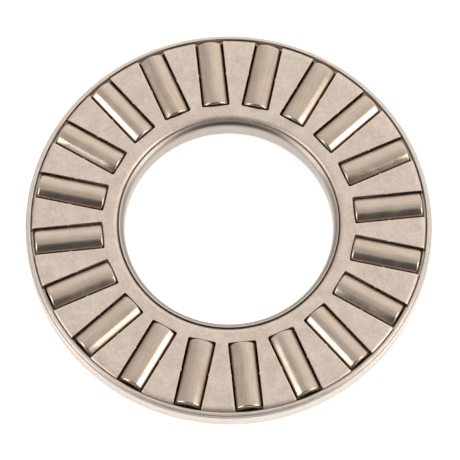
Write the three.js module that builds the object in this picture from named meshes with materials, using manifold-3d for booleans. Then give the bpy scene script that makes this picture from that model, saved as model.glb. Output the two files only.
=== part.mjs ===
// Cylindrical roller thrust bearing with a pressed race, in millimetres.
// The bearing axis is +Z. The origin lies on that axis, in the race's flat back face.
// The race is a heavy steel channel, open upwards, whose flat floor is the track of the rollers. A thin
// inverted channel, the cage, is nested between its two flanges. Twenty radial rollers stand on the
// race's floor, one in each window of the cage, and reach up past the cage's plate.
import * as THREE from 'three';
import { mergeVertices } from 'three/addons/utils/BufferGeometryUtils.js';
import Module from 'manifold-3d';

// Driving dimensions
const OUTSIDE_DIAMETER = 68;
const BORE_DIAMETER = 35;
const ROLLER_COUNT = 20;
const ROLLER_DIAMETER = 5;
const ROLLER_LENGTH = 11.3;
const ROLLER_OUTER_END = 32.5; // distance of a roller's outer end from the bearing axis
const ROLLER_CHAMFER = 0.35;
const ROLLER_PROUD = 0.75; // how far the rollers stand above the cage's plate
const RUNNING_GAP = 0.05; // under the rollers

const RACE_FLOOR = 0.45;
const RACE_FLANGE = 0.85;
const RACE_FOOT_BEND = 0.85;
const STEP_WIDTH = 0.4; // the step turned into the top of the rim flange
const STEP_DEPTH = 0.65;
const STEP_CORNER = 0.13;
const BORE_LIP_ROUND = 1.4; // the rolled-over top of the bore flange
const LIP_DROP = 0.05; // the flanges stay just under the cage's plate

const CAGE_SHEET = 0.4;
const CAGE_RIM_BEND = 0.7;
const CAGE_BORE_BEND = 0.92;
const CAGE_FOOT_GAP = 0.15; // under the cage's flanges
const RIM_GAP = 0.05; // between the cage and the race's rim flange
const BORE_GAP = 0.12; // between the cage and the race's bore flange

const WINDOW_WIDTH = 4.72; // narrower than a roller, so that it can't lift out
const WINDOW_CORNER = 0.3;
const WINDOW_NOTCH_DEPTH = 1.2; // how far a window cuts down the cage's rim flange
const END_PLAY = 0.2; // between a roller's end and the window's end
const NIB_HEIGHT = 0.14; // the small nibs on a window's long edges
const NIB_BASE = 0.7;
const NIB_TIP = 0.3;

// Facets
const RING_FACETS = 60;
const ROLLER_FACETS = 24;
const BEND_FACETS = 3;
const CORNER_FACETS = 2;

// Worked-out sizes
const RIM_RADIUS = OUTSIDE_DIAMETER / 2;
const BORE_RADIUS = BORE_DIAMETER / 2;
const AXIS_HEIGHT = RACE_FLOOR + RUNNING_GAP + ROLLER_DIAMETER / 2;
const PLATE_TOP = AXIS_HEIGHT + ROLLER_DIAMETER / 2 - ROLLER_PROUD;
const RACE_TOP = PLATE_TOP - LIP_DROP;
const RIM_FLANGE_INSIDE = RIM_RADIUS - RACE_FLANGE;
const BORE_FLANGE_INSIDE = BORE_RADIUS + RACE_FLANGE;
const CAGE_RIM = RIM_FLANGE_INSIDE - RIM_GAP;
const CAGE_BORE = BORE_FLANGE_INSIDE + BORE_GAP;
const CAGE_FOOT = RACE_FLOOR + CAGE_FOOT_GAP;
const ROLLER_INNER_END = ROLLER_OUTER_END - ROLLER_LENGTH;
const ROLLER_MIDDLE = (ROLLER_INNER_END + ROLLER_OUTER_END) / 2;
const WINDOW_INNER_END = ROLLER_INNER_END - END_PLAY;
const CUTTER_OVERRUN = 1;

const wasm = await Module();
wasm.setup();

// A manifold solid from a closed three.js geometry.
function toSolid(geometry) {
  const bare = geometry.clone();
  bare.deleteAttribute('normal');
  bare.deleteAttribute('uv');
  const merged = mergeVertices(bare);
  const mesh = new wasm.Mesh({
    numProp: 3,
    vertProperties: new Float32Array(merged.attributes.position.array),
    triVerts: new Uint32Array(merged.index.array),
  });
  return new wasm.Manifold(mesh);
}

// A three.js geometry from a manifold solid.
function toGeometry(solid) {
  const mesh = solid.getMesh();
  const geometry = new THREE.BufferGeometry();
  geometry.setAttribute('position', new THREE.BufferAttribute(mesh.vertProperties, 3));
  geometry.setIndex(new THREE.BufferAttribute(mesh.triVerts, 1));
  geometry.computeVertexNormals();
  return geometry;
}

// Points of a round stretch of a section, from one angle to another in degrees.
function arc(radius, height, bend, fromDegrees, toDegrees, facets = BEND_FACETS) {
  const points = [];
  for (let step = 0; step <= facets; step += 1) {
    const angle = THREE.MathUtils.degToRad(THREE.MathUtils.lerp(fromDegrees, toDegrees, step / facets));
    points.push(new THREE.Vector2(radius + bend * Math.cos(angle), height + bend * Math.sin(angle)));
  }
  return points;
}

// A ring about +Z from its closed section, given anticlockwise as radius and height.
function ringFromSection(section) {
  const ring = new THREE.LatheGeometry([...section, section[0]], RING_FACETS, -Math.PI / 2);
  ring.rotateX(Math.PI / 2);
  return ring;
}

// The thin channel, open downwards: a flat plate with a flange at the rim and one at the bore.
function cageRing() {
  const rimBend = CAGE_RIM - CAGE_RIM_BEND;
  const boreBend = CAGE_BORE + CAGE_BORE_BEND;
  const rimBendHeight = PLATE_TOP - CAGE_RIM_BEND;
  const boreBendHeight = PLATE_TOP - CAGE_BORE_BEND;
  return ringFromSection([
    new THREE.Vector2(CAGE_RIM, CAGE_FOOT),
    ...arc(rimBend, rimBendHeight, CAGE_RIM_BEND, 0, 90),
    ...arc(boreBend, boreBendHeight, CAGE_BORE_BEND, 90, 180),
    new THREE.Vector2(CAGE_BORE, CAGE_FOOT),
    new THREE.Vector2(CAGE_BORE + CAGE_SHEET, CAGE_FOOT),
    ...arc(boreBend, boreBendHeight, CAGE_BORE_BEND - CAGE_SHEET, 180, 90),
    ...arc(rimBend, rimBendHeight, CAGE_RIM_BEND - CAGE_SHEET, 90, 0),
    new THREE.Vector2(CAGE_RIM - CAGE_SHEET, CAGE_FOOT),
  ]);
}

// The heavy channel, open upwards: a flat floor, a stepped rim flange and a rolled bore flange.
function raceRing() {
  const stepRadius = RIM_RADIUS - STEP_WIDTH;
  const stepHeight = RACE_TOP - STEP_DEPTH;
  const boreLip = BORE_RADIUS + BORE_LIP_ROUND;
  const boreLipEnd = THREE.MathUtils.radToDeg(Math.acos((BORE_FLANGE_INSIDE - boreLip) / BORE_LIP_ROUND));
  return ringFromSection([
    ...arc(RIM_RADIUS - RACE_FOOT_BEND, RACE_FOOT_BEND, RACE_FOOT_BEND, -90, 0),
    ...arc(RIM_RADIUS - STEP_CORNER, stepHeight - STEP_CORNER, STEP_CORNER, 0, 90, CORNER_FACETS),
    new THREE.Vector2(stepRadius, stepHeight),
    ...arc(stepRadius - STEP_CORNER, RACE_TOP - STEP_CORNER, STEP_CORNER, 0, 90, CORNER_FACETS),
    new THREE.Vector2(RIM_FLANGE_INSIDE, RACE_TOP),
    new THREE.Vector2(RIM_FLANGE_INSIDE, RACE_FLOOR),
    new THREE.Vector2(BORE_FLANGE_INSIDE, RACE_FLOOR),
    ...arc(boreLip, RACE_TOP - BORE_LIP_ROUND, BORE_LIP_ROUND, boreLipEnd, 180),
    ...arc(BORE_RADIUS + RACE_FOOT_BEND, RACE_FOOT_BEND, RACE_FOOT_BEND, 180, 270),
  ]);
}

// The outline of a window that lies along +X, with a nib half-way along each of its long edges.
function windowOutline() {
  const halfWidth = WINDOW_WIDTH / 2;
  const nibEdge = halfWidth - NIB_HEIGHT;
  const cornerPlace = WINDOW_INNER_END + WINDOW_CORNER;
  const outline = new THREE.Shape();
  outline.moveTo(CAGE_RIM + CUTTER_OVERRUN, -halfWidth);
  outline.lineTo(CAGE_RIM + CUTTER_OVERRUN, halfWidth);
  outline.lineTo(ROLLER_MIDDLE + NIB_BASE / 2, halfWidth);
  outline.lineTo(ROLLER_MIDDLE + NIB_TIP / 2, nibEdge);
  outline.lineTo(ROLLER_MIDDLE - NIB_TIP / 2, nibEdge);
  outline.lineTo(ROLLER_MIDDLE - NIB_BASE / 2, halfWidth);
  outline.lineTo(cornerPlace, halfWidth);
  outline.absarc(cornerPlace, halfWidth - WINDOW_CORNER, WINDOW_CORNER, Math.PI / 2, Math.PI, false);
  outline.absarc(cornerPlace, WINDOW_CORNER - halfWidth, WINDOW_CORNER, Math.PI, 1.5 * Math.PI, false);
  outline.lineTo(ROLLER_MIDDLE - NIB_BASE / 2, -halfWidth);
  outline.lineTo(ROLLER_MIDDLE - NIB_TIP / 2, -nibEdge);
  outline.lineTo(ROLLER_MIDDLE + NIB_TIP / 2, -nibEdge);
  outline.lineTo(ROLLER_MIDDLE + NIB_BASE / 2, -halfWidth);
  return outline;
}

// The upright prism that cuts a window through the plate and the top of the rim flange.
function windowCutter() {
  const low = PLATE_TOP - WINDOW_NOTCH_DEPTH;
  const prism = new THREE.ExtrudeGeometry(windowOutline(), {
    depth: WINDOW_NOTCH_DEPTH + CUTTER_OVERRUN,
    bevelEnabled: false,
    curveSegments: CORNER_FACETS,
  });
  prism.translate(0, 0, low);
  return toSolid(prism);
}

function rollerAngle(index) {
  return (index * 2 * Math.PI) / ROLLER_COUNT;
}

// A roller along +X, turned so that one facet lies flat below and one above.
function rollerGeometry() {
  const cornerRadius = ROLLER_DIAMETER / 2 / Math.cos(Math.PI / ROLLER_FACETS);
  const end = ROLLER_LENGTH / 2;
  const roller = new THREE.LatheGeometry([
    new THREE.Vector2(0, -end),
    new THREE.Vector2(cornerRadius - ROLLER_CHAMFER, -end),
    new THREE.Vector2(cornerRadius, ROLLER_CHAMFER - end),
    new THREE.Vector2(cornerRadius, end - ROLLER_CHAMFER),
    new THREE.Vector2(cornerRadius - ROLLER_CHAMFER, end),
    new THREE.Vector2(0, end),
  ], ROLLER_FACETS, Math.PI / ROLLER_FACETS);
  roller.rotateZ(-Math.PI / 2);
  return roller;
}

const raceSteel = new THREE.MeshStandardMaterial({ color: 0xc9bfb4, roughness: 0.4, metalness: 1 });
const cageSteel = new THREE.MeshStandardMaterial({ color: 0xcfc4b8, roughness: 0.42, metalness: 1 });
const rollerSteel = new THREE.MeshStandardMaterial({ color: 0xb9b0a8, roughness: 0.25, metalness: 1 });

function race() {
  const mesh = new THREE.Mesh(raceRing(), raceSteel);
  mesh.name = 'race';
  return mesh;
}

// The cage with a window cut for every roller.
function cage() {
  const cutter = windowCutter();
  let solid = toSolid(cageRing());
  for (let index = 0; index < ROLLER_COUNT; index += 1) {
    const turn = [0, 0, THREE.MathUtils.radToDeg(rollerAngle(index))];
    solid = solid.subtract(cutter.rotate(turn));
  }
  const mesh = new THREE.Mesh(toGeometry(solid), cageSteel);
  mesh.name = 'cage';
  return mesh;
}

// The rollers, each in a group turned to its place around the bearing axis.
function rollers() {
  const geometry = rollerGeometry();
  const places = [];
  for (let index = 0; index < ROLLER_COUNT; index += 1) {
    const roller = new THREE.Mesh(geometry, rollerSteel);
    roller.name = `roller_${String(index + 1).padStart(2, '0')}`;
    roller.position.set(ROLLER_MIDDLE, 0, AXIS_HEIGHT);
    const place = new THREE.Group();
    place.rotation.z = rollerAngle(index);
    place.add(roller);
    places.push(place);
  }
  return places;
}

const bearing = new THREE.Group();
bearing.name = 'roller_thrust_bearing';
bearing.add(race(), cage(), ...rollers());

export default bearing;
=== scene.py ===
"""Finished surfaces of a cylindrical roller thrust bearing, built on its CAD frame.

The bearing axis is +Z, and the frame's floor is the race's back face. The race is a heavy steel
channel, open upwards. A thin pressed-steel channel, the cage, is nested in it upside down. Rollers
stand on the race's floor, one in each window of the cage. Lengths are in metres.
"""

import math
import random

import bmesh
import bpy
from bpy.props import FloatProperty, FloatVectorProperty, IntProperty, PointerProperty
from mathutils import Matrix, Vector


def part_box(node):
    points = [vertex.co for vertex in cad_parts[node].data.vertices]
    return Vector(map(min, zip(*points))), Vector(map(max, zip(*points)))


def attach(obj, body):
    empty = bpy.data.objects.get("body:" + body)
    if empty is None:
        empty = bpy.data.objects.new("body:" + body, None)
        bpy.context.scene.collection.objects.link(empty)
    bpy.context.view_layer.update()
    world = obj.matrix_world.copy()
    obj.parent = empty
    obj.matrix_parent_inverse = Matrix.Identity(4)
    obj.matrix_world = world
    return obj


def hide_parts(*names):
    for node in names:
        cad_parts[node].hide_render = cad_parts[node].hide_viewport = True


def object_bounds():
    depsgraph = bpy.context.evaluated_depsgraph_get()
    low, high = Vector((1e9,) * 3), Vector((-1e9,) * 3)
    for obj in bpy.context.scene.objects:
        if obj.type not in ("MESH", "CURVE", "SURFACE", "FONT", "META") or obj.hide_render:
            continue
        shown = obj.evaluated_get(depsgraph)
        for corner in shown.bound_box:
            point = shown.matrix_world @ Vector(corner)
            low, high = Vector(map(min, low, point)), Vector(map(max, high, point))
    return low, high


bl_info = {
    "name": "Roller Thrust Bearing",
    "version": (1, 0, 0),
    "blender": (4, 5, 0),
    "location": "View3D > Sidebar > Bearing",
    "description": "Builds the race, the cage, the rollers and the studio of a roller thrust bearing",
    "category": "Add Mesh",
}

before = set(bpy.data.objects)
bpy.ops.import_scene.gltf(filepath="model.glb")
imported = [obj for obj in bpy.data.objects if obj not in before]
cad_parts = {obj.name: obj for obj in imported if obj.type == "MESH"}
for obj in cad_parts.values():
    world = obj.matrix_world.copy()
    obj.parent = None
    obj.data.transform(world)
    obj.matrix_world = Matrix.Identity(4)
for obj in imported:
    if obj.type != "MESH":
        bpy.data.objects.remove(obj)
CAD_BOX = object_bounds()

MM = 0.001
RACE = "race"
CAGE = "cage"
ROLLERS = sorted(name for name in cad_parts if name.startswith("roller_"))
WORN_EDGE = "worn_edge"


def least_radius(node):
    """Radius of the bore of a ring-shaped CAD node."""
    return min(vertex.co.xy.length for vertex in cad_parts[node].data.vertices)


# Sizes that the frame gives
RACE_LOW, RACE_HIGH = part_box(RACE)
CAGE_LOW, CAGE_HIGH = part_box(CAGE)
ROLLER_LOW, ROLLER_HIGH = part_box(ROLLERS[0])
RACE_BACK = RACE_LOW.z
RACE_TOP = RACE_HIGH.z
RIM_RADIUS = RACE_HIGH.x
BORE_RADIUS = least_radius(RACE)
PLATE_TOP = CAGE_HIGH.z
CAGE_FOOT = CAGE_LOW.z
CAGE_RIM = CAGE_HIGH.x
CAGE_BORE = least_radius(CAGE)
ROLLER_RADIUS = (ROLLER_HIGH.z - ROLLER_LOW.z) / 2
ROLLER_AXIS = (ROLLER_HIGH.z + ROLLER_LOW.z) / 2
ROLLER_INNER_END = ROLLER_LOW.x
ROLLER_OUTER_END = ROLLER_HIGH.x
ROLLER_LENGTH = ROLLER_OUTER_END - ROLLER_INNER_END
ROLLER_MIDDLE = (ROLLER_INNER_END + ROLLER_OUTER_END) / 2
SECTOR_HALF = math.pi / len(ROLLERS)

# How finely the surfaces are divided
END_STEPS = 4
CORNER_STEPS = 4
SIDE_STEPS = 14
NIB_STEPS = 8
BEND_STEP = math.radians(11.25)
ROLLER_SEGMENTS = 96
ROLLER_CORNER_STEPS = 6
WALL_STEPS = 3

# Angles round the upper and the lower edge of a window's wall, in degrees
UPPER_EDGE = (0, 30, 60, 90)
LOWER_EDGE = (90, 45, 0)

# Rings of faces between a window and its sector's border, as shares of the way
SPREAD_SHARES = (0.12, 0.35, 0.66, 1.0)

# Rings of a roller's outline. Three are shares of the flat end's radius: one in the floor of its
# shallow dish, the floor's edge and the dish's rim. The last is a share of its half length.
DISH_RING = 0.3
DISH_FLOOR = 0.55
DISH_RIM = 0.72
BODY_RING = 0.6

# The least height of a nib, as a share of the full height
LEAST_NIB = 0.7

# Settings for meshes
WELD_DISTANCE = 1e-7
LEG_TOLERANCE = 1e-12
FLAT_FACE_WEIGHT = 100

# Studio lengths, the strength of the paper's glow, and the sensor's width in millimetres
PAPER_GAP = 0.01 * MM
PAPER_HALF_SIZE = 2.0
PAPER_SQUARES = 8
LIGHT_REACH = 0.6
CLIP_NEAR = 0.01
CLIP_FAR = 10.0
PAPER_GLOW = 0.5
SENSOR_WIDTH = 36.0

# Levels of the room's light: all round, added at the back, and left of it at the front
ROOM_LEVEL = 0.66
BACK_EXTRA = 0.46
FRONT_SHARE = 0.17

# Studio directions, in degrees: azimuth from the camera's right, and elevation
TOWARDS_CAMERA = 270
BACK_MIDDLE = (62, 18)
FRONT_MIDDLE = (268, 28)

# How far from the two middles the change of level starts, and where it is full, in degrees
BACK_EDGE = 78
FRONT_EDGE = 50
FULL_EDGE = 28

# The two softboxes. Their half sizes are angles as seen from the bearing.
SOFTBOXES = {
    "left_softbox": {
        "azimuth": 205,
        "elevation": 22,
        "half_width": 14,
        "half_height": 23,
        "radiance": 2.4,
        "colour": (1.0, 1.0, 1.0),
    },
    "right_softbox": {
        "azimuth": 336,
        "elevation": 27,
        "half_width": 15,
        "half_height": 22,
        "radiance": 2.4,
        "colour": (1.0, 0.985, 0.96),
    },
}

# Band beside the bore where painted shade darkens the race's lip, from its full share to none, and the
# heights below the race's top between which the share changes
PAINTED_SHADE_BAND = (0.5 * MM, 0.9 * MM)
PAINTED_SHADE_HEIGHTS = (1.3 * MM, 0.6 * MM)
PAINTED_SHADE_SHARES = (0.35, 0.75)
# Colour level that the painted shade on the race's bore lip darkens towards
PAINTED_SHADE_LEVEL = 0.35

# Colour levels beside 1: worn edges, and the small marks on the rollers
WORN_EDGE_LEVEL = 1.12
MARK_LEVEL = 1.35

# The spans of a noise field that are stretched over a whole change
GRAIN_SPAN = (0.3, 0.7)
CLOUD_SPAN = (0.35, 0.65)
MARK_SPAN = (0.72, 0.76)

# Noise scales, in features per metre
TUMBLED_CLOUD_SCALE = 520.0
TUMBLED_GRAIN_SCALE = 2600.0
FINE_GRAIN_SCALE = 9000.0
DRAWN_CLOUD_SCALE = 420.0
RING_LINE_SCALE = 5200.0
EDGE_WEAR_SCALE = 900.0
STAIN_SCALE = 420.0
MARK_SCALE = 2300.0
PAPER_FIBRE_SCALE = 2000.0
ROLLER_LENGTHWISE_SCALES = (260.0, 2600.0, 2600.0)
ROLLER_ROUND_SCALES = (7000.0, 700.0, 700.0)

# How far the drawn rings wander round the race, and how far the rollers' fields lie apart
RING_WANDER = (0.004, 0.004, 0.0)
ROLLER_SPREAD = (7.0, 7.0, 7.0)


def length_property(name, description, default):
    """A length that a user can change."""
    return FloatProperty(
        name=name, description=description, default=default, min=0.0, precision=5, unit="LENGTH"
    )


def colour_property(name, description, default):
    """A surface colour that a user can change."""
    return FloatVectorProperty(
        name=name, description=description, default=default, min=0.0, max=1.0, size=3, subtype="COLOR"
    )


def share_property(name, description, default):
    """A number from 0 to 1 that a user can change."""
    return FloatProperty(
        name=name, description=description, default=default, min=0.0, max=1.0, subtype="FACTOR"
    )


def angle_property(name, description, default):
    """An angle that a user can change, with its default in degrees."""
    return FloatProperty(
        name=name, description=description, default=math.radians(default), subtype="ANGLE"
    )


class RaceSizes(bpy.types.PropertyGroup):
    """Sizes of the race that the frame's boxes don't give."""

    floor: length_property("Floor", "Thickness of the floor", 0.45 * MM)
    flange: length_property("Rim flange", "Thickness of the rim flange", 0.85 * MM)
    bore_flange: length_property("Bore flange", "Thickness of the bore flange", 0.9 * MM)
    foot_bend: length_property("Foot bends", "Outside radius of the lower bends", 0.85 * MM)
    inside_corner: length_property("Inside corners", "Fillet between floor and flanges", 0.12 * MM)
    step_width: length_property("Step width", "Width of the step in the rim flange", 0.4 * MM)
    step_depth: length_property("Step depth", "Depth of the step in the rim flange", 0.65 * MM)
    step_corner: length_property("Step corners", "Round of the step's outer corners", 0.13 * MM)
    step_fillet: length_property("Step fillet", "Fillet at the step's foot", 0.06 * MM)
    bore_lip: length_property("Bore lip", "Round of the rolled-over bore flange", 1.4 * MM)
    cut_edge: length_property("Edges", "Rounding of the flanges' inner edges", 0.07 * MM)


class CageSizes(bpy.types.PropertyGroup):
    """Sizes of the cage that the frame's boxes don't give."""

    sheet: length_property("Sheet", "Sheet thickness", 0.4 * MM)
    rim_bend: length_property("Rim bend", "Outside radius of that bend", 0.7 * MM)
    bore_bend: length_property("Bore bend", "Outside radius of that bend", 0.92 * MM)
    cut_edge: length_property("Cut edges", "Rounding of every cut edge", 0.06 * MM)
    window_width: length_property("Window width", "Width of a window", 4.72 * MM)
    window_corner: length_property("Window corner", "Corner radius of a window", 0.3 * MM)
    end_play: length_property("End play", "Room between a roller's end and its window", 0.2 * MM)
    notch: length_property("Notch", "Depth of a window in the rim flange", 1.2 * MM)
    nib_height: length_property("Nib height", "How far a nib reaches into a window", 0.14 * MM)
    nib_length: length_property("Nib length", "Length of a nib", 0.6 * MM)
    nib_seed: IntProperty(name="Nib seed", description="Varies the nibs", default=7)
    plate_margin: length_property("Margin", "Plate between a window and the bore bend", 0.75 * MM)
    flange_margin: length_property("Flange margin", "Flange between a window and the foot", 0.8 * MM)


class RollerSizes(bpy.types.PropertyGroup):
    """Sizes of a roller that the frame's box doesn't give."""

    corner: length_property("Corner", "Corner radius of a roller", 0.36 * MM)
    end_dish: length_property("End dish", "Depth of the shallow dish in a roller's end", 0.04 * MM)


class SteelFinish(bpy.types.PropertyGroup):
    """Colours and roughness of the three steels."""

    cage_colour: colour_property("Cage", "Tumbled sheet steel", (0.81, 0.688, 0.592))
    cage_roughness: share_property("Cage roughness", "Mean roughness", 0.46)
    race_colour: colour_property("Race", "Drawn sheet steel", (0.72, 0.64, 0.57))
    race_roughness: share_property("Race roughness", "Mean roughness", 0.34)
    roller_colour: colour_property("Rollers", "Ground bearing steel", (0.65, 0.535, 0.435))
    roller_roughness: share_property("Roller roughness", "Mean roughness", 0.22)


class StudioSettings(bpy.types.PropertyGroup):
    """Camera and backdrop."""

    azimuth: angle_property("Camera azimuth", "Turn of the camera about the bearing axis", -5.95)
    elevation: angle_property("Camera elevation", "Height of the camera above the horizon", 70.3)
    distance: length_property("Camera distance", "From the middle of the plate", 641 * MM)
    lens: FloatProperty(
        name="Lens", description="Focal length in millimetres", default=300.3, unit="CAMERA"
    )
    aim_right: length_property("Aim right", "Aim to the right of the plate's middle", 0.2 * MM)
    aim_down: length_property("Aim down", "Aim below the plate's middle", 1.253 * MM)
    paper_colour: colour_property("Paper", "Colour of the floor and the backdrop", (0.97, 0.97, 0.97))


# Section lines


def straight(length):
    """A straight move of a section line."""
    return length, 0.0


def bend(radius, degrees):
    """A bent move of a section line: to the left, or to the right for negative degrees."""
    turn = math.radians(degrees)
    return radius * abs(turn), math.copysign(1 / radius, turn)


class SectionLine:
    """A line in a ring's section, from a start and a heading on through its moves.

    Distances run along it. A place on it is (across, height). The metal's outside is on the
    left of the heading where a depth is used.
    """

    def __init__(self, across, height, heading_degrees, moves):
        self.legs = []
        place = Vector((across, height))
        heading = math.radians(heading_degrees)
        start = 0.0
        for length, curve in moves:
            self.legs.append((start, length, curve, place.copy(), heading))
            place, heading = self.follow(place, heading, curve, length)
            start += length
        self.length = start

    @staticmethod
    def follow(place, heading, curve, length):
        """Place and heading after some length of one move."""
        if curve == 0.0:
            return place + length * Vector((math.cos(heading), math.sin(heading))), heading
        turned = heading + curve * length
        centre = place + Vector((-math.sin(heading), math.cos(heading))) / curve
        return centre - Vector((-math.sin(turned), math.cos(turned))) / curve, turned

    def at(self, distance, depth=0.0):
        """The place at a distance, sunk by a depth below the outside."""
        leg = [leg for leg in self.legs if leg[0] <= distance + LEG_TOLERANCE][-1]
        start, _, curve, place, heading = leg
        place, heading = self.follow(place, heading, curve, distance - start)
        return place - depth * Vector((-math.sin(heading), math.cos(heading)))

    def stations(self):
        """Distances at every joint between moves and at small steps around each bend."""
        found = [0.0]
        for start, length, curve, _, _ in self.legs:
            steps = max(1, math.ceil(abs(curve) * length / BEND_STEP))
            found += [start + length * step / steps for step in range(1, steps + 1)]
        return found


def on_ring(across, height, angle):
    """The point at a radius, a height and an angle about the bearing axis."""
    return Vector((across * math.cos(angle), across * math.sin(angle), height))


# Mesh making


class SheetMaker:
    """Collects rows of points into one skin. Each point has a share of edge wear."""

    def __init__(self):
        self.mesh = bmesh.new()
        self.wear = self.mesh.verts.layers.float.new(WORN_EDGE)

    def row(self, points, wear=0.0):
        """New vertices at these points."""
        made = [self.mesh.verts.new(point) for point in points]
        for vertex in made:
            vertex[self.wear] = wear
        return made

    def join(self, row, following):
        """Four-sided faces between two closed rows of as many vertices."""
        count = len(row)
        for index in range(count):
            after = (index + 1) % count
            self.mesh.faces.new((row[index], row[after], following[after], following[index]))

    def cap(self, row, middle):
        """Triangles from a closed row to one middle point."""
        centre = self.mesh.verts.new(middle)
        for index, vertex in enumerate(row):
            self.mesh.faces.new((vertex, row[(index + 1) % len(row)], centre))

    def finish(self, name):
        """The finished object: welded, with its faces outward and smoothly shaded."""
        bmesh.ops.remove_doubles(self.mesh, verts=self.mesh.verts, dist=WELD_DISTANCE)
        bmesh.ops.recalc_face_normals(self.mesh, faces=self.mesh.faces)
        data = bpy.data.meshes.new(name)
        self.mesh.to_mesh(data)
        self.mesh.free()
        data.shade_smooth()
        made = bpy.data.objects.new(name, data)
        bpy.context.scene.collection.objects.link(made)
        weighted = made.modifiers.new("flat_faces_lead", "WEIGHTED_NORMAL")
        weighted.weight = FLAT_FACE_WEIGHT
        return made


def ring_angles():
    """The angles of the columns all round a ring."""
    steps = 2 * (END_STEPS + CORNER_STEPS // 2) * len(ROLLERS)
    return [2 * math.pi * step / steps for step in range(steps)]


def sweep_strip(maker, line, base, outward, worn_from=None):
    """Sweeps a section line round the ring.

    The line's across is counted from the radius base, and grows outward for 1 or inward for -1.
    The edges above the height worn_from are worn.
    """
    rows = []
    for distance in line.stations():
        place = line.at(distance)
        radius = base + outward * place.x
        points = [on_ring(radius, place.y, angle) for angle in ring_angles()]
        is_worn = worn_from is not None and place.y > worn_from
        rows.append(maker.row(points, 1.0 if is_worn else 0.0))
    for row, following in zip(rows, rows[1:]):
        maker.join(row, following)


# Windows


def both_sides(half, other_half):
    """A closed line: one half, then the other mirrored, from its far end back.

    The first and last places of a half are on the middle line and are taken once.
    """
    return half + [(distance, -angle) for distance, angle in other_half[-2:0:-1]]


class Window:
    """One window of the cage, around the angle 0.

    line is the outside of the sheet, and starts at start_radius on the flat plate. Distances
    along it give the window's near end, on the plate, and its far end, on the rim flange.
    """

    def __init__(self, line, start_radius, near, far, sizes):
        self.line = line
        self.start_radius = start_radius
        self.near = near
        self.far = far
        self.half_width = sizes.window_width / 2
        self.corner = sizes.window_corner
        self.nib_length = sizes.nib_length

    def flat_place(self, along, aside):
        """Distance and angle of a point that lies along and aside of the roller's axis."""
        x = self.start_radius + along
        return math.hypot(x, aside) - self.start_radius, math.atan2(aside, x)

    def sheet_place(self, along, aside):
        """Distance and angle of a point by its distance along the line and its offset aside."""
        return along, math.asin(aside / self.line.at(along).x)

    def half_end(self, is_far, offset):
        """An end's points from its middle round to the last one of its corner."""
        straight_half = self.half_width - self.corner
        reach = self.corner + offset
        pairs = [(1.0, straight_half * step / END_STEPS) for step in range(END_STEPS)]
        for step in range(CORNER_STEPS + 1):
            angle = math.pi / 2 * step / CORNER_STEPS
            pairs.append((math.cos(angle), straight_half + reach * math.sin(angle)))
        if is_far:
            return [self.sheet_place(self.far - self.corner + share * reach, aside) for share, aside in pairs]
        return [self.flat_place(self.near + self.corner - share * reach, aside) for share, aside in pairs]

    def side_distances(self, near_end, far_end):
        """Distances of a side's points between its corners, close together at the nib."""
        nib_start = self.nib_middle() - self.nib_length
        nib_end = self.nib_middle() + self.nib_length
        before = [near_end + (nib_start - near_end) * step / SIDE_STEPS for step in range(1, SIDE_STEPS + 1)]
        nib = [nib_start + (nib_end - nib_start) * step / NIB_STEPS for step in range(1, NIB_STEPS)]
        after = [nib_end + (far_end - nib_end) * step / SIDE_STEPS for step in range(SIDE_STEPS)]
        return before + nib + after

    def nib_middle(self):
        """Distance of the nibs, half-way along the roller."""
        return ROLLER_MIDDLE - self.start_radius

    def side(self, distances, offset, nib):
        """Points of one side, with a nib that is a smooth bump."""
        points = []
        for distance in distances:
            share = min(1.0, abs(distance - self.nib_middle()) / (self.nib_length / 2))
            rise = nib * (1 + math.cos(math.pi * share)) / 2
            points.append(self.sheet_place(distance, self.half_width + offset - rise))
        return points

    def outline(self, offset, nibs):
        """The closed outline, as distances and angles, pushed out into the sheet by offset.

        nibs holds the height of the nib on the left side and of that on the right.
        """
        near = self.half_end(False, offset)
        far = self.half_end(True, offset)
        distances = self.side_distances(near[-1][0], far[-1][0])
        left, right = [near + self.side(distances, offset, nib) + far[::-1] for nib in nibs]
        return both_sides(left, right)

    def border(self, outline):
        """The sector's border, with one point for each of the outline's points."""
        length = self.line.length
        across = END_STEPS + CORNER_STEPS // 2
        fan = CORNER_STEPS // 2
        half = len(outline) // 2
        first = outline[across + fan][0]
        last = outline[half - across - fan][0]
        made = []
        for index in range(half + 1):
            from_end = half - index
            if index <= across:
                made.append((0.0, SECTOR_HALF * index / across))
            elif from_end <= across:
                made.append((length, SECTOR_HALF * from_end / across))
            elif index < across + fan:
                made.append((first * (index - across) / fan, SECTOR_HALF))
            elif from_end < across + fan:
                made.append((length + (last - length) * (from_end - across) / fan, SECTOR_HALF))
            else:
                made.append((outline[index][0], SECTOR_HALF))
        return both_sides(made, made)


def edge_ring(cut_edge, degrees):
    """How far a rounded edge lies out of the wall and off the sheet's face, at an angle round it."""
    angle = math.radians(degrees)
    return cut_edge * (1 - math.sin(angle)), cut_edge * (1 - math.cos(angle))


def wall_rings(sheet, cut_edge):
    """Offset, depth and wear of the rings down a window's wall, with both its edges rounded."""
    rings = []
    for degrees in UPPER_EDGE:
        offset, depth = edge_ring(cut_edge, degrees)
        rings.append((offset, depth, 1.0))
    for step in range(1, WALL_STEPS):
        rings.append((0.0, cut_edge + (sheet - 2 * cut_edge) * step / WALL_STEPS, 0.0))
    for degrees in LOWER_EDGE:
        offset, height = edge_ring(cut_edge, degrees)
        rings.append((offset, sheet - height, 0.0))
    return rings


def blend_places(start, end, share):
    """Places between two closed lists of distances and angles."""
    return [
        (a[0] + (b[0] - a[0]) * share, a[1] + (b[1] - a[1]) * share) for a, b in zip(start, end)
    ]


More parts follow.
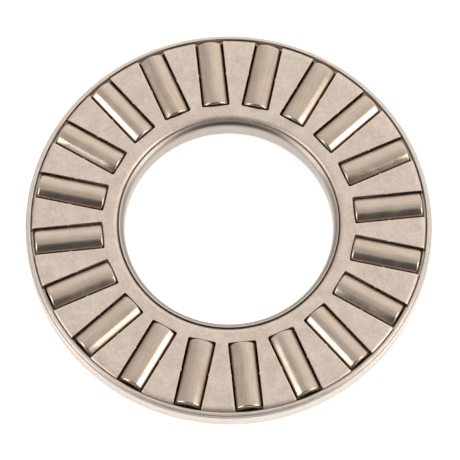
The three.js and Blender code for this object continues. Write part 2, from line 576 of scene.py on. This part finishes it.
def cut_sector(maker, window, sizes, turn, nibs):
    """One sector of sheet around its window: the face, the window's wall and the underside."""
    walls = [
        (window.outline(offset, nibs), depth, wear)
        for offset, depth, wear in wall_rings(sizes.sheet, sizes.cut_edge)
    ]
    border = window.border(window.outline(0.0, (0.0, 0.0)))
    face = [(blend_places(walls[0][0], border, share), 0.0, 0.0) for share in reversed(SPREAD_SHARES)]
    under = [(blend_places(walls[-1][0], border, share), sizes.sheet, 0.0) for share in SPREAD_SHARES]
    rows = []
    for places, depth, wear in face + walls + under:
        points = []
        for distance, angle in places:
            place = window.line.at(distance, depth)
            points.append(on_ring(place.x, place.y, angle + turn))
        rows.append(maker.row(points, wear))
    for row, following in zip(rows, rows[1:]):
        maker.join(row, following)


def roller_angle(node):
    """Angle of a roller about the bearing axis."""
    low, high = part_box(node)
    return math.atan2(low.y + high.y, low.x + high.x)


# Node trees


class Nodes:
    """Adds nodes to one node tree."""

    def __init__(self, tree):
        self.tree = tree
        tree.nodes.clear()

    def add(self, kind, inputs=None, **settings):
        """A node with its settings and inputs. An input is a value or another node's socket."""
        node = self.tree.nodes.new(kind)
        for name, value in settings.items():
            setattr(node, name, value)
        for name, value in (inputs or {}).items():
            if isinstance(value, bpy.types.NodeSocket):
                self.tree.links.new(value, node.inputs[name])
            else:
                node.inputs[name].default_value = value
        return node

    def maths(self, operation, first, second=0.0):
        """The result of a sum, product or comparison of two values."""
        return self.add("ShaderNodeMath", {0: first, 1: second}, operation=operation).outputs[0]

    def vector_maths(self, operation, first, second, output="Vector"):
        """The result of vector arithmetic."""
        made = self.add("ShaderNodeVectorMath", {0: first, 1: second}, operation=operation)
        return made.outputs[output]

    def noise(self, vector, scale, detail=3.0, roughness=0.55):
        """A noise field from 0 to 1."""
        inputs = {"Vector": vector, "Scale": scale, "Detail": detail, "Roughness": roughness}
        return self.add("ShaderNodeTexNoise", inputs).outputs["Fac"]

    def between(self, value, low, high, to_low, to_high, smooth=False):
        """A value moved from one span to another and held inside it."""
        inputs = {"Value": value, "From Min": low, "From Max": high, "To Min": to_low, "To Max": to_high}
        kind = "SMOOTHSTEP" if smooth else "LINEAR"
        return self.add("ShaderNodeMapRange", inputs, interpolation_type=kind).outputs["Result"]

    def mix(self, share, first, second, blend="MIX"):
        """A mix of two colours."""
        made = self.add("ShaderNodeMix", data_type="RGBA", blend_type=blend)
        for name, value in (("Factor_Float", share), ("A_Color", first), ("B_Color", second)):
            socket = next(s for s in made.inputs if s.identifier == name)
            if isinstance(value, bpy.types.NodeSocket):
                self.tree.links.new(value, socket)
            else:
                socket.default_value = value
        return next(s for s in made.outputs if s.identifier == "Result_Color")

    def bump(self, height, distance, normal=None):
        """A normal from a height field of some depth in metres."""
        inputs = {"Height": height, "Distance": distance, "Strength": 1.0}
        if normal is not None:
            inputs["Normal"] = normal
        return self.add("ShaderNodeBump", inputs).outputs["Normal"]

    def steel(self, colour, roughness, normal):
        """A metal surface and the material's output."""
        surface = self.add(
            "ShaderNodeBsdfPrincipled",
            {"Base Color": colour, "Roughness": roughness, "Normal": normal, "Metallic": 1.0},
        )
        self.add("ShaderNodeOutputMaterial", {"Surface": surface.outputs["BSDF"]})


def shade(colour, factor, warmth=0.0):
    """A colour made darker or lighter, and warmer or cooler."""
    red, green, blue = (channel * factor for channel in colour)
    return (min(1.0, red * (1 + warmth)), min(1.0, green), min(1.0, blue * (1 - warmth)), 1.0)


def grey(level):
    """A neutral colour."""
    return (level, level, level, 1.0)


def new_material(name):
    """An empty node material, and the socket of places on the piece itself, in metres."""
    material = bpy.data.materials.new(name)
    material.use_nodes = True
    nodes = Nodes(material.node_tree)
    return material, nodes, nodes.add("ShaderNodeTexCoord").outputs["Object"]


def mottled(nodes, place, colour, clouds, warmth, depth=0.05):
    """A colour that drifts between a darker, warmer tint and a lighter, cooler one."""
    share = nodes.between(nodes.noise(place, clouds, 4.0, 0.6), *CLOUD_SPAN, 0.0, 1.0)
    return nodes.mix(share, shade(colour, 1 - depth, warmth), shade(colour, 1 + depth, -warmth))


def darkened(nodes, colour, field, level):
    """A colour darkened to a level where a noise field is low."""
    share = nodes.between(field, *GRAIN_SPAN, 0.0, 1.0)
    return nodes.mix(1.0, colour, nodes.mix(share, grey(level), grey(1.0)), "MULTIPLY")


def brightened_edges(nodes, place, surface, colour):
    """A surface with the patchy bright wear that the mesh carries at its cut and folded edges."""
    worn = nodes.add("ShaderNodeAttribute", attribute_name=WORN_EDGE).outputs["Fac"]
    patchy = nodes.between(nodes.noise(place, EDGE_WEAR_SCALE), *CLOUD_SPAN, 0.1, 0.5)
    return nodes.mix(nodes.maths("MULTIPLY", worn, patchy), surface, shade(colour, WORN_EDGE_LEVEL))


def uneven_roughness(nodes, field, span, mean, less, more):
    """A roughness that a noise field moves a little down and up."""
    return nodes.between(field, *span, mean - less, mean + more)


def tumbled_steel(colour, roughness):
    """Sheet steel with the soft mottled surface that tumbling leaves."""
    material, nodes, place = new_material("tumbled_sheet_steel")
    grain = nodes.noise(place, TUMBLED_GRAIN_SCALE, 3.0, 0.6)
    fine = nodes.noise(place, FINE_GRAIN_SCALE, 2.0, 0.5)
    tinted = mottled(nodes, place, colour, TUMBLED_CLOUD_SCALE, warmth=0.014, depth=0.075)
    speckled = darkened(nodes, tinted, grain, level=0.8)
    bright = brightened_edges(nodes, place, speckled, colour)
    dull = uneven_roughness(nodes, grain, GRAIN_SPAN, roughness, less=0.07, more=0.07)
    fine_share = nodes.maths("MULTIPLY", fine, 0.3)
    heights = nodes.maths("ADD", nodes.maths("MULTIPLY", grain, 0.7), fine_share)
    nodes.steel(bright, dull, nodes.bump(heights, 0.009 * MM))
    return material


def drawn_steel(colour, roughness):
    """Heavier sheet steel with the fine rings that forming its edges leaves, and painted shade darkening its
    bore lip.
    """
    material, nodes, place = new_material("drawn_sheet_steel")
    parts = nodes.add("ShaderNodeSeparateXYZ", {"Vector": place}).outputs
    flat = nodes.add("ShaderNodeCombineXYZ", {"X": parts["X"], "Y": parts["Y"]}).outputs["Vector"]
    radius = nodes.vector_maths("LENGTH", flat, (0.0, 0.0, 0.0), "Value")
    across = nodes.add("ShaderNodeCombineXYZ", {"X": radius, "Y": parts["Z"]}).outputs["Vector"]
    wander = nodes.vector_maths("MULTIPLY", flat, RING_WANDER)
    rings = nodes.noise(nodes.vector_maths("ADD", across, wander), RING_LINE_SCALE, 3.0, 0.6)
    grain = nodes.noise(place, TUMBLED_GRAIN_SCALE, 3.0, 0.6)
    tinted = mottled(nodes, place, colour, DRAWN_CLOUD_SCALE, warmth=0.02)
    streaked = darkened(nodes, tinted, rings, level=0.84)
    # Painted shade: the colour in a band beside the bore is darkened, and more so towards the race's top.
    shade_band = [BORE_RADIUS + width for width in PAINTED_SHADE_BAND]
    shade_heights = [RACE_TOP - drop for drop in PAINTED_SHADE_HEIGHTS]
    shade_by_bore = nodes.between(radius, *shade_band, 1.0, 0.0)
    shade_by_height = nodes.between(parts["Z"], *shade_heights, *PAINTED_SHADE_SHARES)
    lip_shaded = nodes.mix(nodes.maths("MULTIPLY", shade_by_bore, shade_by_height), streaked, shade(colour, PAINTED_SHADE_LEVEL))
    bright = brightened_edges(nodes, place, lip_shaded, colour)
    dull = uneven_roughness(nodes, grain, GRAIN_SPAN, roughness, less=0.06, more=0.06)
    nodes.steel(bright, dull, nodes.bump(rings, 0.004 * MM, nodes.bump(grain, 0.003 * MM)))
    return material


def ground_steel(colour, roughness):
    """Ground bearing steel, with fine lines along it, faint stains and a few small marks."""
    material, nodes, place = new_material("ground_roller_steel")
    spot = nodes.add("ShaderNodeObjectInfo").outputs["Location"]
    own = nodes.vector_maths("ADD", place, nodes.vector_maths("MULTIPLY", spot, ROLLER_SPREAD))
    lengthwise = nodes.vector_maths("MULTIPLY", own, ROLLER_LENGTHWISE_SCALES)
    streaks = nodes.noise(lengthwise, 1.0, 4.0, 0.65)
    rounds = nodes.noise(nodes.vector_maths("MULTIPLY", own, ROLLER_ROUND_SCALES), 1.0, 2.0)
    stains = nodes.noise(own, STAIN_SCALE, 4.0, 0.6)
    marks = nodes.noise(own, MARK_SCALE, 2.0, 0.5)
    tinted = mottled(nodes, own, colour, STAIN_SCALE, warmth=0.03)
    streaked = darkened(nodes, tinted, streaks, level=0.84)
    lined = darkened(nodes, streaked, rounds, level=0.95)
    mark_share = nodes.between(marks, *MARK_SPAN, 0.0, 0.5)
    marked = nodes.mix(mark_share, lined, shade(colour, MARK_LEVEL))
    dull = uneven_roughness(nodes, stains, CLOUD_SPAN, roughness, less=0.03, more=0.06)
    nodes.steel(marked, dull, nodes.bump(rounds, 0.0008 * MM, nodes.bump(streaks, 0.0012 * MM)))
    return material


def paper(colour):
    """Pale paper that also glows a little, as a lit sweep does."""
    material, nodes, place = new_material("pale_paper")
    fibres = nodes.noise(place, PAPER_FIBRE_SCALE, 3.0, 0.6)
    surface = nodes.add(
        "ShaderNodeBsdfPrincipled",
        {
            "Base Color": (*colour, 1.0),
            "Roughness": 0.9,
            "Specular IOR Level": 0.0,
            "Emission Color": (1.0, 1.0, 1.0, 1.0),
            "Emission Strength": PAPER_GLOW,
            "Normal": nodes.bump(fibres, 0.01 * MM),
        },
    )
    nodes.add("ShaderNodeOutputMaterial", {"Surface": surface.outputs["BSDF"]})
    return material


# Pieces


def rolled_bore_flange(reach, sizes):
    """Section line of the race's bore side: up its outside, over its lip and down inside.

    Across is counted from the bore, and the line starts and ends at reach.
    """
    lip = sizes.bore_lip
    edge = sizes.cut_edge / 2
    corner = sizes.inside_corner
    rolled = math.acos((lip + edge - sizes.bore_flange) / (lip - edge))
    lip_centre = RACE_TOP - lip
    inside_top = lip_centre + (lip - edge) * math.sin(rolled)
    floor_top = RACE_BACK + sizes.floor
    return SectionLine(reach, RACE_BACK, 180, [
        straight(reach - sizes.foot_bend),
        bend(sizes.foot_bend, -90),
        straight(lip_centre - RACE_BACK - sizes.foot_bend),
        bend(lip, -math.degrees(rolled)),
        bend(edge, math.degrees(rolled) - 180),
        straight(inside_top - floor_top - corner),
        bend(corner, 90),
        straight(reach - sizes.bore_flange - corner),
    ])


def stepped_rim_flange(reach, sizes):
    """Section line of the race's rim side: up its outside, over its step and down inside.

    Across is counted from the rim, and the line starts and ends at reach.
    """
    edge = sizes.cut_edge
    round_corner = sizes.step_corner
    fillet = sizes.step_fillet
    inside_corner = sizes.inside_corner
    wall = RACE_TOP - sizes.step_depth - round_corner - RACE_BACK - sizes.foot_bend
    inside = RACE_TOP - edge - RACE_BACK - sizes.floor - inside_corner
    return SectionLine(reach, RACE_BACK, 180, [
        straight(reach - sizes.foot_bend),
        bend(sizes.foot_bend, -90),
        straight(wall),
        bend(round_corner, -90),
        straight(sizes.step_width - round_corner - fillet),
        bend(fillet, 90),
        straight(sizes.step_depth - fillet - round_corner),
        bend(round_corner, -90),
        straight(sizes.flange - sizes.step_width - round_corner - edge),
        bend(edge, -90),
        straight(inside),
        bend(inside_corner, 90),
        straight(reach - sizes.flange - inside_corner),
    ])


def thin_bore_flange(reach, sizes):
    """Section line of the cage's bore side: down its outside and up its inside."""
    sheet = sizes.sheet
    edge = sizes.cut_edge
    fold = sizes.bore_bend
    drop = PLATE_TOP - fold - CAGE_FOOT
    return SectionLine(reach, PLATE_TOP, 180, [
        straight(reach - fold),
        bend(fold, 90),
        straight(drop - edge),
        bend(edge, 90),
        straight(sheet - 2 * edge),
        bend(edge, 90),
        straight(drop - edge),
        bend(fold - sheet, -90),
        straight(reach - fold),
    ])


def thin_rim_foot(height, sizes):
    """Section line of the foot of the cage's rim flange, below a height."""
    edge = sizes.cut_edge
    drop = height - CAGE_FOOT - edge
    return SectionLine(0.0, height, 270, [
        straight(drop),
        bend(edge, 90),
        straight(sizes.sheet - 2 * edge),
        bend(edge, 90),
        straight(drop),
    ])


def dress(made, material, body, node):
    """Gives a finished piece its material, and its place in the assembly."""
    made.data.materials.append(material)
    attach(made, body)
    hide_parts(node)


class BEARING_OT_race(bpy.types.Operator):
    """Builds the heavy channel with its flat floor, stepped rim and rolled bore flange"""

    bl_idname = "bearing.race"
    bl_label = "Race"

    def execute(self, context):
        sizes = context.scene.bearing_race
        finish = context.scene.bearing_finish
        maker = SheetMaker()
        bore = rolled_bore_flange(ROLLER_MIDDLE - BORE_RADIUS, sizes)
        rim = stepped_rim_flange(RIM_RADIUS - ROLLER_MIDDLE, sizes)
        sweep_strip(maker, bore, BORE_RADIUS, 1, RACE_TOP - sizes.cut_edge)
        sweep_strip(maker, rim, RIM_RADIUS, -1, RACE_TOP - sizes.step_depth - sizes.step_corner)
        made = maker.finish("race_skin")
        dress(made, drawn_steel(finish.race_colour, finish.race_roughness), RACE, RACE)
        return {"FINISHED"}


class BEARING_OT_cage(bpy.types.Operator):
    """Builds the thin pressed-steel channel with its twenty windows and their nibs"""

    bl_idname = "bearing.cage"
    bl_label = "Cage"

    def execute(self, context):
        sizes = context.scene.bearing_cage
        finish = context.scene.bearing_finish
        near = ROLLER_INNER_END - sizes.end_play
        start = near - sizes.plate_margin
        fold = sizes.rim_bend
        low_height = PLATE_TOP - sizes.notch - sizes.flange_margin
        line = SectionLine(start, PLATE_TOP, 0, [
            straight(CAGE_RIM - fold - start),
            bend(fold, -90),
            straight(PLATE_TOP - fold - low_height),
        ])
        window = Window(line, start, near - start, line.length - sizes.flange_margin, sizes)
        chance = random.Random(sizes.nib_seed)
        maker = SheetMaker()
        for node in ROLLERS:
            nibs = [sizes.nib_height * chance.uniform(LEAST_NIB, 1.0) for _ in range(2)]
            cut_sector(maker, window, sizes, roller_angle(node), nibs)
        sweep_strip(maker, thin_bore_flange(start - CAGE_BORE, sizes), CAGE_BORE, 1)
        sweep_strip(maker, thin_rim_foot(low_height, sizes), CAGE_RIM, -1)
        made = maker.finish("cage_skin")
        dress(made, tumbled_steel(finish.cage_colour, finish.cage_roughness), CAGE, CAGE)
        return {"FINISHED"}


def roller_profile(sizes):
    """Half of a roller's outline, from an end's middle to its own middle, as (along, radius)."""
    corner = sizes.corner
    end = ROLLER_LENGTH / 2
    face = ROLLER_RADIUS - corner
    dish = end - sizes.end_dish
    points = [(dish, face * DISH_RING), (dish, face * DISH_FLOOR), (end, face * DISH_RIM), (end, face)]
    for step in range(1, ROLLER_CORNER_STEPS + 1):
        angle = math.pi / 2 * step / ROLLER_CORNER_STEPS
        points.append((end - corner + corner * math.cos(angle), face + corner * math.sin(angle)))
    points.append((end * BODY_RING, ROLLER_RADIUS))
    return points


def roller_mesh(name, sizes):
    """One roller along its own X axis."""
    maker = SheetMaker()
    half = roller_profile(sizes)
    profile = half + [(-along, radius) for along, radius in reversed(half)]
    rows = []
    for along, radius in profile:
        points = []
        for step in range(ROLLER_SEGMENTS):
            angle = 2 * math.pi * step / ROLLER_SEGMENTS
            points.append(Vector((along, radius * math.cos(angle), radius * math.sin(angle))))
        rows.append(maker.row(points))
    for row, following in zip(rows, rows[1:]):
        maker.join(row, following)
    maker.cap(rows[0], Vector((profile[0][0], 0.0, 0.0)))
    maker.cap(rows[-1], Vector((profile[-1][0], 0.0, 0.0)))
    return maker.finish(name)


class BEARING_OT_rollers(bpy.types.Operator):
    """Builds the ground rollers and stands each in its window"""

    bl_idname = "bearing.rollers"
    bl_label = "Rollers"

    def execute(self, context):
        finish = context.scene.bearing_finish
        steel = ground_steel(finish.roller_colour, finish.roller_roughness)
        for node in ROLLERS:
            made = roller_mesh(node + "_ground", context.scene.bearing_roller)
            angle = roller_angle(node)
            place = Matrix.Translation(on_ring(ROLLER_MIDDLE, ROLLER_AXIS, angle))
            made.matrix_world = place @ Matrix.Rotation(angle, 4, "Z")
            dress(made, steel, node, node)
        return {"FINISHED"}


# Studio


def direction(azimuth, elevation, studio):
    """A direction by its azimuth from the camera's right and its elevation, in degrees."""
    turn = math.radians(azimuth) + studio.azimuth
    lift = math.radians(elevation)
    return Vector((math.cos(lift) * math.cos(turn), math.cos(lift) * math.sin(turn), math.sin(lift)))


def softbox(studio, name, azimuth, elevation, half_width, half_height, radiance, colour):
    """A soft rectangular light aimed at the bearing. Its half sizes are angles in degrees."""
    width = 2 * LIGHT_REACH * math.tan(math.radians(half_width))
    height = 2 * LIGHT_REACH * math.tan(math.radians(half_height))
    light = bpy.data.lights.new(name, "AREA")
    light.shape = "RECTANGLE"
    light.size = width
    light.size_y = height
    light.color = colour
    light.energy = radiance * math.pi * width * height
    away = direction(azimuth, elevation, studio)
    lamp = bpy.data.objects.new(name, light)
    lamp.location = away * LIGHT_REACH
    lamp.rotation_mode = "QUATERNION"
    lamp.rotation_quaternion = away.to_track_quat("Z", "Y")
    lamp.visible_camera = False
    bpy.context.scene.collection.objects.link(lamp)


def room_light(studio):
    """Soft light from all round, darker where the camera stands, over a plain backdrop."""
    world = bpy.data.worlds.new("soft_room")
    world.use_nodes = True
    nodes = Nodes(world.node_tree)
    ray = nodes.add("ShaderNodeTexCoord").outputs["Generated"]
    back = nodes.vector_maths("DOT_PRODUCT", ray, tuple(direction(*BACK_MIDDLE, studio)), "Value")
    front = nodes.vector_maths("DOT_PRODUCT", ray, tuple(direction(*FRONT_MIDDLE, studio)), "Value")
    back_edge, front_edge, full_edge = (
        math.cos(math.radians(degrees)) for degrees in (BACK_EDGE, FRONT_EDGE, FULL_EDGE)
    )
    lit = nodes.between(back, back_edge, full_edge, ROOM_LEVEL, ROOM_LEVEL + BACK_EXTRA, smooth=True)
    shut = nodes.between(front, front_edge, full_edge, 1.0, FRONT_SHARE, smooth=True)
    strength = nodes.maths("MULTIPLY", lit, shut)
    room = nodes.add("ShaderNodeBackground", {"Color": (1.0, 0.985, 0.965, 1.0), "Strength": strength})
    plain = nodes.add("ShaderNodeBackground", {"Color": (1.0, 1.0, 1.0, 1.0), "Strength": 1.0})
    seen = nodes.add("ShaderNodeLightPath").outputs["Is Camera Ray"]
    inputs = {0: seen, 1: room.outputs[0], 2: plain.outputs[0]}
    both = nodes.add("ShaderNodeMixShader", inputs)
    nodes.add("ShaderNodeOutputWorld", {"Surface": both.outputs[0]})
    bpy.context.scene.world = world


def lay_floor(studio):
    """A wide sheet of paper under the race."""
    maker = bmesh.new()
    squares = PAPER_SQUARES
    bmesh.ops.create_grid(maker, x_segments=squares, y_segments=squares, size=PAPER_HALF_SIZE)
    data = bpy.data.meshes.new("paper_floor")
    maker.to_mesh(data)
    maker.free()
    floor = bpy.data.objects.new("paper_floor", data)
    floor.location.z = CAD_BOX[0].z - PAPER_GAP
    bpy.context.scene.collection.objects.link(floor)
    data.materials.append(paper(studio.paper_colour))


def place_camera(studio):
    """A long lens that looks down at the bearing from the front."""
    camera = bpy.data.cameras.new("studio_camera")
    camera.lens = studio.lens
    camera.sensor_width = SENSOR_WIDTH
    camera.clip_start = CLIP_NEAR
    camera.clip_end = CLIP_FAR
    seat = bpy.data.objects.new("studio_camera", camera)
    bpy.context.scene.collection.objects.link(seat)
    back = direction(TOWARDS_CAMERA, math.degrees(studio.elevation), studio)
    turn = back.to_track_quat("Z", "Y")
    right = turn @ Vector((1.0, 0.0, 0.0))
    up = turn @ Vector((0.0, 1.0, 0.0))
    aim = Vector((0.0, 0.0, PLATE_TOP)) + right * studio.aim_right - up * studio.aim_down
    seat.location = aim + back * studio.distance
    seat.rotation_mode = "QUATERNION"
    seat.rotation_quaternion = turn
    bpy.context.scene.camera = seat


class BEARING_OT_studio(bpy.types.Operator):
    """Sets up the camera, the soft lights and the pale floor"""

    bl_idname = "bearing.studio"
    bl_label = "Studio"

    def execute(self, context):
        studio = context.scene.bearing_studio
        context.scene.view_settings.view_transform = "Standard"
        place_camera(studio)
        lay_floor(studio)
        room_light(studio)
        for name, settings in SOFTBOXES.items():
            softbox(studio, name, **settings)
        return {"FINISHED"}


class BEARING_PT_panel(bpy.types.Panel):
    """Lists what can be built"""

    bl_idname = "BEARING_PT_panel"
    bl_label = "Roller Thrust Bearing"
    bl_space_type = "VIEW_3D"
    bl_region_type = "UI"
    bl_category = "Bearing"

    def draw(self, context):
        for operator in OPERATORS:
            self.layout.operator(operator.bl_idname)


OPERATORS = (BEARING_OT_studio, BEARING_OT_race, BEARING_OT_cage, BEARING_OT_rollers)
SETTINGS = {
    "bearing_race": RaceSizes,
    "bearing_cage": CageSizes,
    "bearing_roller": RollerSizes,
    "bearing_finish": SteelFinish,
    "bearing_studio": StudioSettings,
}


def register():
    """Registers the settings, the operators and the panel."""
    for name, group in SETTINGS.items():
        bpy.utils.register_class(group)
        setattr(bpy.types.Scene, name, PointerProperty(type=group))
    for operator in OPERATORS:
        bpy.utils.register_class(operator)
    bpy.utils.register_class(BEARING_PT_panel)


def unregister():
    """Takes back what register() did."""
    bpy.utils.unregister_class(BEARING_PT_panel)
    for operator in reversed(OPERATORS):
        bpy.utils.unregister_class(operator)
    for name, group in SETTINGS.items():
        delattr(bpy.types.Scene, name)
        bpy.utils.unregister_class(group)


def main():
    """Builds the whole scene."""
    register()
    bpy.ops.bearing.studio()
    bpy.ops.bearing.race()
    bpy.ops.bearing.cage()
    bpy.ops.bearing.rollers()


if __name__ == "__main__":
    main()
